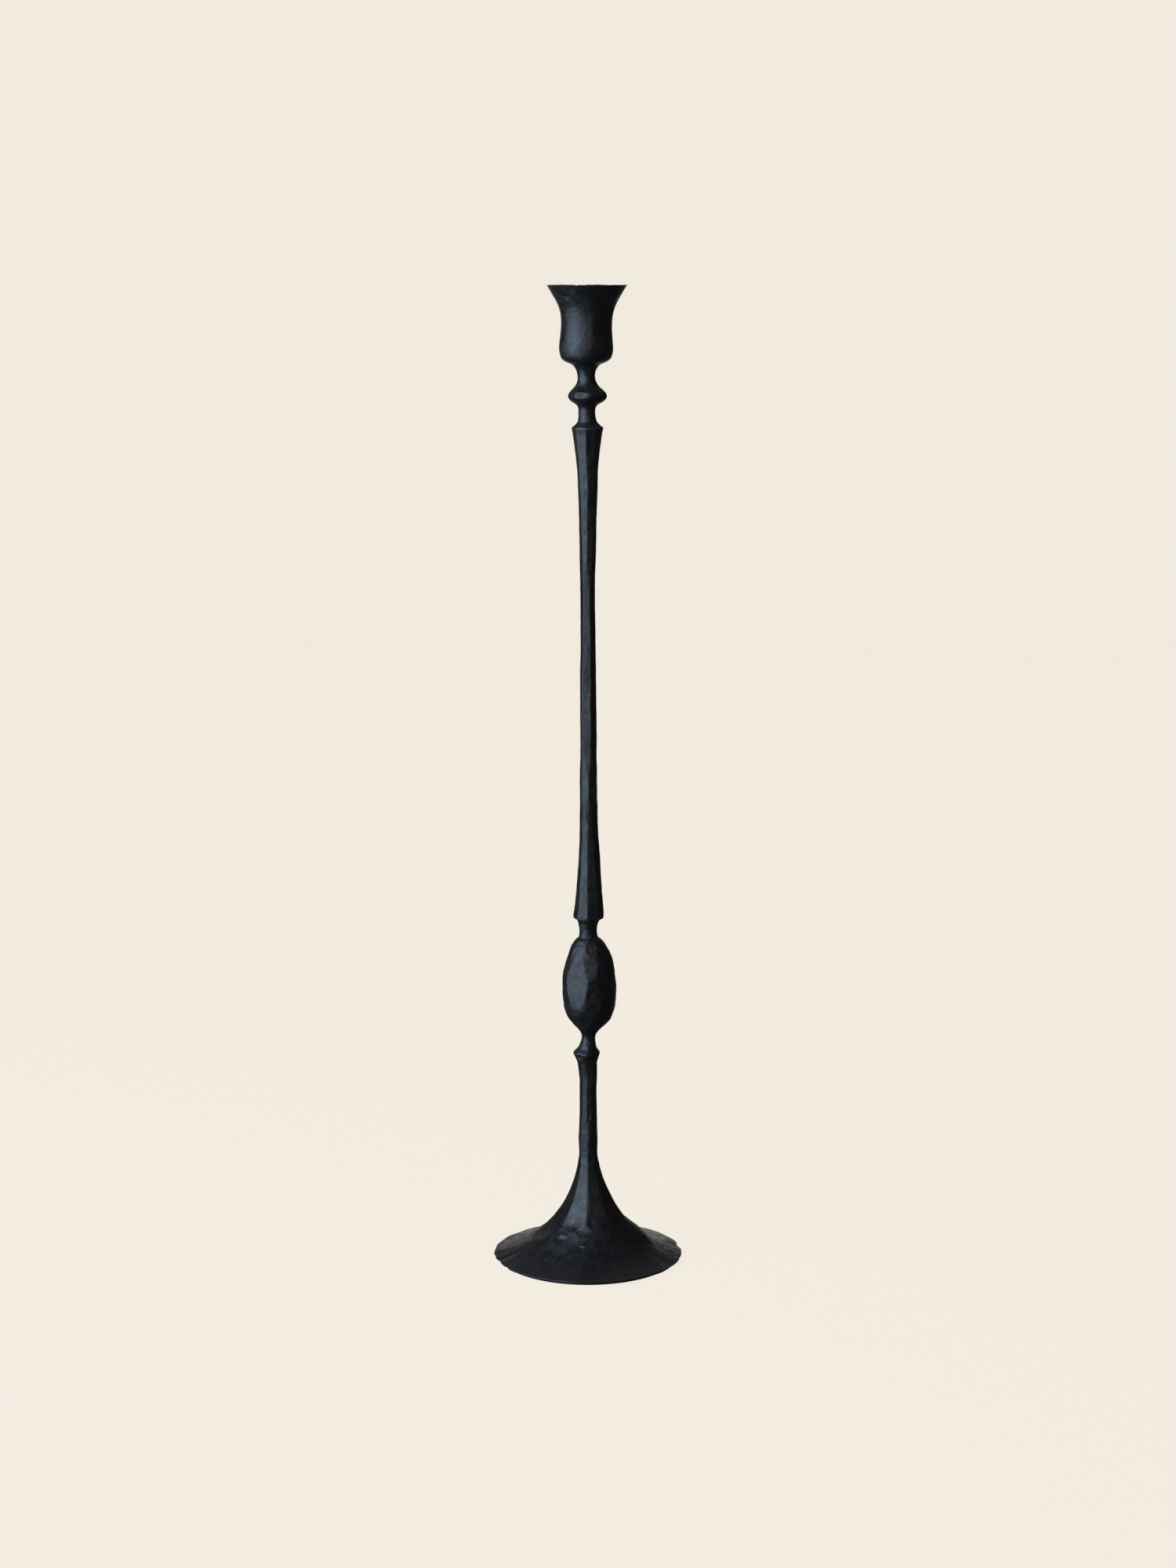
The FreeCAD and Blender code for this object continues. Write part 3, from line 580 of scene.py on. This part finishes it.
def stem_collar():
    """A ring with a sharp edge, filed to uneven flats above and below it."""
    bottom, edge, top = 6.15, 8.75, 5.0
    edge_low, edge_high = COLLAR_LOW + 6.9, COLLAR_LOW + 7.6
    below = [(bottom, COLLAR_LOW), (6.5, COLLAR_LOW + 1.4), (7.5, COLLAR_LOW + 4.0), (edge, edge_low)]
    above = [(edge, edge_high), (7.5, COLLAR_LOW + 9.0), (5.9, COLLAR_LOW + 10.9), (top, COLLAR_TOP)]
    outline = Outline([
        ([(STUD_CLEAR, COLLAR_LOW), (bottom, COLLAR_LOW)], False),
        (below, True),
        ([(edge, edge_low), (edge, edge_high)], True),
        (above, True),
        ([(top, COLLAR_TOP), (STUD_CLEAR, COLLAR_TOP)], False),
        ([(STUD_CLEAR, COLLAR_TOP), (STUD_CLEAR, COLLAR_LOW)], False),
    ], step=0.25, soft=0.14, ring=True)
    angle = columns(160)
    height = outline.z[:, None]
    zones = [(120, 131, -52, 8), (133, 138, -30, 8)]
    share = flats_along(angle, height, zones, seed=31, crispness=45, tilt=4.0, uneven=0.015)
    share = 1 + (share - 1) * np.clip((outline.r[:, None] - 4.5) / 1.0, 0, 1)
    marks = [(-36, 130.0, 3.2, 2.8, 0.9), (15, 129.0, 2.2, 2.2, 0.2), (70, 129.5, 2.4, 2.0, 0.25),
             (-10, 134.0, 2.5, 1.6, 0.2)]
    fuller = 1.01
    return iron_piece("stem_collar_hammered", "stem_collar", outline, angle, share * fuller,
                      dents(angle, outline, marks))


def egg_knop():
    """The egg: an ovoid struck flat all over. Each blow (angle, height, depth, tilt) leaves a plane
    that lies its depth inside the surface there, across the normal turned up by the tilt."""
    bottom, top = 5.0, 6.0
    neck = [(bottom, EGG_LOW), (4.6, EGG_LOW + 1.3), (4.2, EGG_LOW + 4.0), (4.5, EGG_LOW + 6.0),
            (5.6, EGG_LOW + 8.0)]
    body = [(8.3, EGG_LOW + 11.0), (11.1, EGG_LOW + 13.8), (13.8, EGG_LOW + 17.4),
            (15.5, EGG_LOW + 22.0), (16.45, EGG_LOW + 28.5), (16.9, EGG_LOW + 36.8),
            (16.6, EGG_LOW + 44.0), (15.3, EGG_LOW + 51.0), (13.25, EGG_LOW + 57.5),
            (10.3, EGG_LOW + 63.2), (7.9, EGG_LOW + 66.2), (top, EGG_TOP)]
    tenon = STUD_HOLE - THREAD_ROOM
    outline = Outline([
        ([(0, EGG_TENON), (tenon, EGG_TENON)], False),
        ([(tenon, EGG_TENON), (tenon, EGG_LOW)], False),
        ([(tenon, EGG_LOW), (bottom, EGG_LOW)], False),
        (neck + body, True),
        ([(top, EGG_TOP), (STUD_HOLE, EGG_TOP)], False),
        ([(STUD_HOLE, EGG_TOP), (STUD_HOLE, SHAFT_STUD_LOW)], False),
        ([(STUD_HOLE, SHAFT_STUD_LOW), (0, SHAFT_STUD_LOW)], False),
    ], step=0.42, soft=0.12)
    angle = columns(208)
    blows = [
        (-29, 170.5, 1.15, 7), (1, 186.5, 0.70, 0), (11, 169.5, 0.75, 2), (-68, 172, 0.45, 0),
        (-8, 154.5, 0.70, 0), (-52, 154.5, 0.60, 0), (32, 180, 0.65, 0), (42, 164, 0.65, 0),
        (24, 153, 0.45, 0), (-72, 187.5, 0.60, 0), (-40, 199.0, 0.22, -6), (8, 199.0, 0.45, 0),
        (45, 195.0, 0.5, 0), (-100, 186, 0.4, 0), (70, 178, 0.6, 0), (72, 159, 0.45, 0),
    ]
    rng = np.random.default_rng(52)
    for row, (height, count) in enumerate(((155, 6), (168, 7), (182, 7), (196, 6))):
        for place in range(count):
            at = 95 + 170 * (place + 0.5 * (row % 2)) / (count - 0.5)
            blows.append((at + rng.normal(0, 4), height + rng.normal(0, 2.0),
                          rng.uniform(0.4, 0.8), rng.normal(0, 2)))
    flats = [np.broadcast_to(outline.r[:, None], (len(outline.s), angle.size))]
    for at_angle, at_height, depth, tilt in blows:
        s = outline.at(at_height)
        r, nr, nz = (np.interp(s, outline.s, line) for line in (outline.r, outline.nr, outline.nz))
        rise = math.atan2(nz, nr) + math.radians(tilt)
        nr, nz = math.cos(rise), math.sin(rise)
        off = nr * r + nz * at_height - depth - nz * outline.z[:, None]
        away = nr * np.cos(np.radians(turned_by(angle, at_angle)))[None, :]
        flats.append(np.where((away > 0.12) & (off > 0), off / np.maximum(away, 0.12), 99.0))
    struck = nearest(flats, 110) / np.maximum(outline.r[:, None], 1e-6)
    on_egg = np.clip((outline.z[:, None] - (EGG_LOW + 8)) / 5, 0, 1)
    share = 1 + (np.minimum(struck, 1) - 1) * on_egg
    marks = hammered_over(outline, EGG_LOW + 10, EGG_TOP - 1, 3.4, 0.18, seed=53)
    marks += [(-35, EGG_TOP - 3.0, 4.5, 2.4, 0.35), (20, EGG_LOW + 5, 2.0, 3.0, 0.2)]
    return iron_piece("egg_knop_hammered", "egg_knop", outline, angle, share,
                      dents(angle, outline, marks))


def shaft_ferrule():
    """A small spool that narrows above its seam and spreads under the shaft."""
    bottom, top = 5.95, 8.1
    outside = [(bottom, FERRULE_LOW), (5.65, FERRULE_LOW + 1.4), (5.45, FERRULE_LOW + 3.2),
               (5.55, FERRULE_LOW + 5.5), (5.85, FERRULE_LOW + 7.4), (6.2, FERRULE_LOW + 9.2),
               (6.9, FERRULE_LOW + 10.7), (top, FERRULE_TOP)]
    outline = Outline([
        ([(STUD_CLEAR, FERRULE_LOW), (bottom, FERRULE_LOW)], False),
        (outside, True),
        ([(top, FERRULE_TOP), (STUD_CLEAR, FERRULE_TOP)], False),
        ([(STUD_CLEAR, FERRULE_TOP), (STUD_CLEAR, FERRULE_LOW)], False),
    ], step=0.25, soft=0.12, ring=True)
    angle = columns(144)
    marks = [(-40, FERRULE_LOW + 2.6, 2.6, 2.2, 0.12), (15, FERRULE_LOW + 6.5, 2.2, 2.6, 0.15),
             (70, FERRULE_LOW + 5.0, 2.4, 3.0, 0.15), (130, FERRULE_LOW + 6.0, 2.4, 3.0, 0.15),
             (200, FERRULE_LOW + 4.0, 2.4, 3.0, 0.15), (265, FERRULE_LOW + 6.0, 2.4, 3.0, 0.15)]
    return iron_piece("shaft_ferrule_hammered", "shaft_ferrule", outline, angle, 1.0,
                      dents(angle, outline, marks))


def tapered_shaft():
    """The long bar, forged flat on six to eight sides zone by zone, so that the corners step
    sideways and the flats run out in points."""
    outside = [
        (9.2, 216.5), (9.5, 217.4), (9.5, 218.4), (8.9, 225), (8.0, 235), (7.3, 245), (6.7, 257),
        (6.25, 268), (5.85, 283), (5.6, 300), (5.4, 325), (5.25, 355), (5.0, 380), (4.75, 405),
        (4.8, 425), (5.15, 443), (5.55, 461), (6.05, 478), (6.6, 491), (7.5, 501), (8.5, 508.5),
        (9.2, 513.5), (9.4, 515.6), (9.2, 516.2), (8.4, 516.6),
    ]
    stretch = (SHAFT_TOP - SHAFT_LOW) / (outside[-1][1] - outside[0][1])
    outside = [(r, SHAFT_LOW + (z - outside[0][1]) * stretch) for r, z in outside]
    hole_low = SHAFT_STUD_TOP + HOLE_ROOM
    outline = Outline([
        ([(0, hole_low), (STUD_HOLE, hole_low)], False),
        ([(STUD_HOLE, hole_low), (STUD_HOLE, SHAFT_LOW)], False),
        ([(STUD_HOLE, SHAFT_LOW), (outside[0][0], SHAFT_LOW)], False),
        (outside, True),
        ([outside[-1], (NECK_HOLE, SHAFT_TOP)], False),
        ([(NECK_HOLE, SHAFT_TOP), (NECK_HOLE, NECK_STUD_LOW)], False),
        ([(NECK_HOLE, NECK_STUD_LOW), (0, NECK_STUD_LOW)], False),
    ], step=0.62, soft=0.15)
    angle = columns(144)
    zones = [
        (214, 252, -8, 8), (250, 276, -10, 8), (266, 284, -31, 8), (290, 322, 2, 7), (318, 352, 16, 6),
        (348, 384, 14, 6), (382, 426, 16, 7), (430, 468, -7, 8), (462, 492, 1, 8), (488, 520, -5, 8),
    ]
    share = flats_along(angle, outline.z[:, None], zones, seed=61, crispness=55)
    share = 1 + (share - 1) * np.clip((SHAFT_TOP - outline.z[:, None]) / 5, 0.25, 1)
    marks = hammered_over(outline, 219, 514, 4.5, 0.10, seed=62)
    marks += [(-40, 250.5, 1.6, 1.8, 0.25), (-36, 246.0, 1.5, 1.4, 0.2), (-24, 274.5, 2.4, 4.6, 0.35)]
    fuller = 1.015
    return iron_piece("tapered_shaft_hammered", "tapered_shaft", outline, angle, share * fuller,
                      dents(angle, outline, marks))


def neck_knop():
    """Two slender necks with a round bead between them, and one deep oval blow on the bead."""
    low, bottom, top = KNOP_LOW, 8.3, 7.3
    outside = [
        (bottom, low), (6.9, low + 1.4), (5.9, low + 2.6), (5.35, low + 4.4), (5.05, low + 8.0),
        (5.15, low + 10.6), (6.0, low + 12.3), (8.0, low + 13.7), (10.1, low + 15.0), (11.5, low + 16.6),
        (11.85, low + 18.2), (11.3, low + 19.8), (9.9, low + 21.3), (7.9, low + 23.1), (6.3, low + 25.1),
        (5.4, low + 27.4), (5.25, low + 29.6), (5.45, low + 31.6), (6.1, low + 33.6), (top, KNOP_TOP),
    ]
    hole_low, hole_high = NECK_STUD_TOP + HOLE_ROOM, SCREW_LOW - HOLE_ROOM
    outline = Outline([
        ([(0, hole_low), (NECK_HOLE, hole_low)], False),
        ([(NECK_HOLE, hole_low), (NECK_HOLE, low)], False),
        ([(NECK_HOLE, low), (bottom, low)], False),
        (outside, True),
        ([(top, KNOP_TOP), (NECK_HOLE, KNOP_TOP)], False),
        ([(NECK_HOLE, KNOP_TOP), (NECK_HOLE, hole_high)], False),
        ([(NECK_HOLE, hole_high), (0, hole_high)], False),
    ], step=0.28, soft=0.1)
    angle = columns(176)
    bead = low + 18.4
    height = outline.z[:, None]
    share = flats_along(angle, height, [(bead - 4, bead + 4, 4, 9)], seed=72, crispness=50, tilt=4.0)
    share = 1 + (share - 1) * np.clip((outline.r[:, None] - 6) / 4, 0, 1) * 0.7
    marks = [(-21, bead + 0.2, 4.4, 2.0, 0.85), (40, bead - 1, 3.5, 3.0, 0.25),
             (95, bead + 0.5, 4.0, 3.0, 0.5), (150, bead, 4.0, 3.0, 0.35), (205, bead, 4.4, 3.2, 0.45),
             (262, bead + 1, 4.0, 3.0, 0.3),
             (-35, low + 8.0, 2.4, 3.6, 0.22), (20, low + 7.5, 2.4, 3.6, 0.15),
             (-30, low + 29, 2.6, 3.2, 0.2), (30, low + 28, 2.4, 3.2, 0.15)]
    marks += hammered_over(outline, low + 2, KNOP_TOP - 1.5, 2.6, 0.05, seed=71)
    fuller = 1.01
    return iron_piece("neck_knop_hammered", "neck_knop", outline, angle, share * fuller,
                      dents(angle, outline, marks))


def candle_cup():
    """The bell-mouthed cup: soft upright flats round its body, a thin hammered lip with nicks in
    it, and a straight machined socket."""
    low, rim, bottom, screw_hole = CUP_LOW, reach("candle_cup"), 7.2, 2.7
    outside = [
        (bottom, low), (8.3, low + 0.9), (10.6, low + 2.0), (13.0, low + 3.1), (14.7, low + 4.6),
        (15.8, low + 6.8), (16.4, low + 9.6), (16.4, low + 12.0), (15.95, low + 16.5),
        (15.55, low + 21.0), (15.5, low + 27.0), (15.95, low + 31.0), (16.9, low + 34.6),
        (18.5, low + 38.3), (20.4, low + 41.8), (22.2, low + 45.1), (rim, low + 47.7),
    ]
    lip_inside = rim - 0.9
    floor, head, cone = SCREW_TOP + 0.2, reach("cup_screw"), SCREW_TOP - 2.55
    mouth = [(lip_inside, CUP_TOP), (20.7, CUP_TOP - 1.6), (19.0, CUP_TOP - 3.3), (15.9, CUP_TOP - 7.0),
             (13.4, CUP_TOP - 11.1), (SOCKET, SOCKET_TOP)]
    outline = Outline([
        ([(screw_hole, low), (bottom, low)], False),
        (outside, True),
        ([outside[-1], (lip_inside, CUP_TOP)], True),
        (mouth, True),
        ([(SOCKET, SOCKET_TOP), (SOCKET, floor)], False),
        ([(SOCKET, floor), (head, floor)], False),
        ([(head, floor), (head, floor - 0.5), (screw_hole, cone)], False),
        ([(screw_hole, cone), (screw_hole, low)], False),
    ], step=0.42, soft=0.12, ring=True)
    angle = columns(224)
    height = outline.z[:, None]
    inner = np.arange(len(outline.s)) > int(np.argmax(outline.z))
    share = flats_along(angle, height, [(low + 6, low + 34, 8.0, 10)], seed=81, crispness=50, tilt=4.0,
                        uneven=0.008)
    body = np.clip((height - low - 3) / 5, 0, 1) * np.clip((low + 44 - height) / 10, 0, 1)
    share = 1 + (share - 1) * body * ~inner[:, None] * 0.45
    # The lip wanders in and out here, and further down it is lowered by nicks and a slow wave.
    lip_round = 150
    lip = np.clip((height - low - 40) / 8, 0, 1)
    share = share + lip * 0.007 * wander(angle / 360 * lip_round, 83, 24)[None, :]
    marks = hammered_over(outline, low + 5, low + 46, 4.2, 0.07, seed=82)
    marks += [(-37, low + 34.5, 3.0, 1.8, 0.35), (-30, low + 17.0, 6.5, 7.0, 0.22),
              (8, low + 15.0, 4.5, 7.5, 0.16), (-24, low + 27.0, 4.5, 5.0, 0.15),
              (60, low + 20.0, 5.0, 8.0, 0.25)]
    lift = dents(angle, outline, marks)
    # A fleck of scale stands proud under the lip.
    fleck = np.exp(-((15 * np.radians(turned_by(angle, -38))[None, :] / 1.6) ** 2)
                   - ((height - low - 38.4) / 0.7) ** 2)
    lift = (lift + 0.22 * fleck) * ~inner[:, None]
    at_lip = np.clip((height - CUP_TOP + 1.4) / 1.4, 0, 1) ** 2
    nick = 0
    nicks = ((-16, 1.8, 0.5), (192, 5.0, 0.6), (84, 3.0, 0.25), (-60, 3.5, 0.2), (140, 6, 0.3))
    for at, wide, deep in nicks:
        nick = nick + deep * np.exp(-((turned_by(angle, at) / wide) ** 2))[None, :]
    nick = nick + 0.12 * (1 + wander(angle / 360 * lip_round, 84, 17)[None, :])
    # The socket and the screw's hole stay on the axis, while the outside leans.
    leaning = np.where(inner, np.clip((outline.z - SOCKET_TOP) / (CUP_TOP - SOCKET_TOP), 0, 1), 1.0)
    leaning = leaning * np.clip((outline.r - screw_hole) / 4, 0, 1)
    return iron_piece("candle_cup_hammered", "candle_cup", outline, angle, share, lift,
                      leaning=leaning, drop=nick * at_lip)


pieces = [
    flared_foot(), pedestal_stem(), stem_collar(), egg_knop(), shaft_ferrule(), tapered_shaft(),
    neck_knop(), candle_cup(),
]

for node, finish in (("cup_screw", "zinc_steel"), ("neck_stud", "zinc_steel"),
                     ("shaft_stud", "zinc_steel"), ("foot_bolt", "zinc_steel"),
                     ("foot_washer", "zinc_steel"), ("foot_spring_washer", "zinc_steel"),
                     ("felt_ring", "black_felt")):
    for place in frame["nodes"][node].material_slots:
        place.material = materials[finish]


# ---------------------------------------------------------------- studio

def studio_sweep():
    """A pale floor that curves up into a round wall: flat to the inner radius, then a quarter
    circle, then upright. It lies a hair below the felt, so the two never share a plane."""
    flat, bend, wall, below_felt = 3.2, 1.2, 4.0, 0.0003
    corner = np.linspace(0, np.pi / 2, 24)
    radius = np.r_[np.linspace(0.02, flat, 24), flat + bend * np.sin(corner[1:]), flat + bend]
    height = np.r_[np.zeros(24), bend * (1 - np.cos(corner[1:])), wall]
    turn = np.linspace(0, 2 * np.pi, 96, endpoint=False)
    points = np.stack([
        radius[:, None] * np.sin(turn), -radius[:, None] * np.cos(turn),
        np.broadcast_to(height[:, None] - below_felt, (len(height), turn.size)),
    ], axis=2)
    rows, count = points.shape[:2]
    index = np.arange(rows * count).reshape(rows, count)
    quads = np.stack([index[:-1], np.roll(index, -1, 1)[:-1], np.roll(index, -1, 1)[1:], index[1:]], axis=2)
    faces = quads[:, :, ::-1].reshape(-1, 4).tolist() + [index[0].tolist()]
    mesh = bpy.data.meshes.new("studio_sweep")
    mesh.from_pydata(points.reshape(-1, 3), [], faces)
    mesh.polygons.foreach_set("use_smooth", np.ones(len(mesh.polygons), bool))
    sweep = bpy.data.objects.new("studio_sweep", mesh)
    bpy.context.collection.objects.link(sweep)
    recipe = Recipe("pale_paper")
    paper = colour(0.055, 0.052, 0.045)
    for key, value in (("Base Color", paper), ("Roughness", 1.0), ("Specular IOR Level", 0.0),
                       ("Emission Color", colour(0.870, 0.812, 0.727)), ("Emission Strength", 1.0)):
        recipe.feed(recipe.shader.inputs[key], value)
    mesh.materials.append(recipe.material)
    # The sweep is a plain backdrop: it takes shadows and doesn't light or mirror in the iron.
    sweep.visible_glossy = False
    sweep.visible_diffuse = False
    sweep.visible_shadow = False
    return sweep


def soft_light(name, angle, heights, distance, width, watts, tint):
    """A large upright panel of light that faces the axis from an angle round it."""
    light = bpy.data.lights.new(name, "AREA")
    light.shape = "RECTANGLE"
    light.size, light.size_y = width, heights[1] - heights[0]
    light.energy = watts
    light.color = tint
    lamp = bpy.data.objects.new(name, light)
    turn = math.radians(angle)
    lamp.location = (distance * math.sin(turn), -distance * math.cos(turn), sum(heights) / 2)
    lamp.rotation_euler = (math.pi / 2, 0, turn)
    lamp.visible_camera = False
    bpy.context.collection.objects.link(lamp)
    return lamp


def studio_world():
    """A dim room: the same faint grey on every side."""
    world = bpy.data.worlds.new("dim_room")
    world.use_nodes = True
    bpy.context.scene.world = world
    nodes = world.node_tree
    background = nodes.nodes["Background"]
    background.inputs["Color"].default_value = (0.046, 0.045, 0.046, 1)
    background.inputs["Strength"].default_value = 1.0


def camera():
    """A long lens level with the rim of the cup, looking slightly down."""
    lens = bpy.data.cameras.new("camera")
    lens.lens = 67.25
    lens.sensor_width = 36.0
    view = bpy.data.objects.new("camera", lens)
    view.location = (0.0, -1.76, CUP_TOP * MM)
    view.rotation_euler = (math.radians(90 - 9.676), 0, 0)
    bpy.context.collection.objects.link(view)
    bpy.context.scene.camera = view


studio_sweep()
# name, angle, bottom and top in metres, distance, width, watts, tint
soft_light("window_high", -56, (1.0, 2.55), 1.6, 1.80, 40, (0.61, 0.79, 1.0))
soft_light("window_low", -56, (0.12, 1.0), 1.6, 1.80, 16.5, (0.63, 0.80, 1.0))
soft_light("sill_below_window", -56, (-0.5, 0.12), 1.6, 1.80, 9.4, (0.64, 0.80, 1.0))
soft_light("window_far_side", 2, (0.75, 2.3), 2.3, 1.5, 8, (0.92, 0.93, 1.0))
soft_light("wall_behind", 180, (-0.8, 0.68), 2.6, 2.1, 5.5, (1.0, 0.98, 0.95))
soft_light("wall_high", 180, (2.0, 4.5), 2.6, 3.0, 5, (1.0, 0.99, 0.98))
studio_world()
camera()
bpy.context.scene.view_settings.view_transform = "Standard"
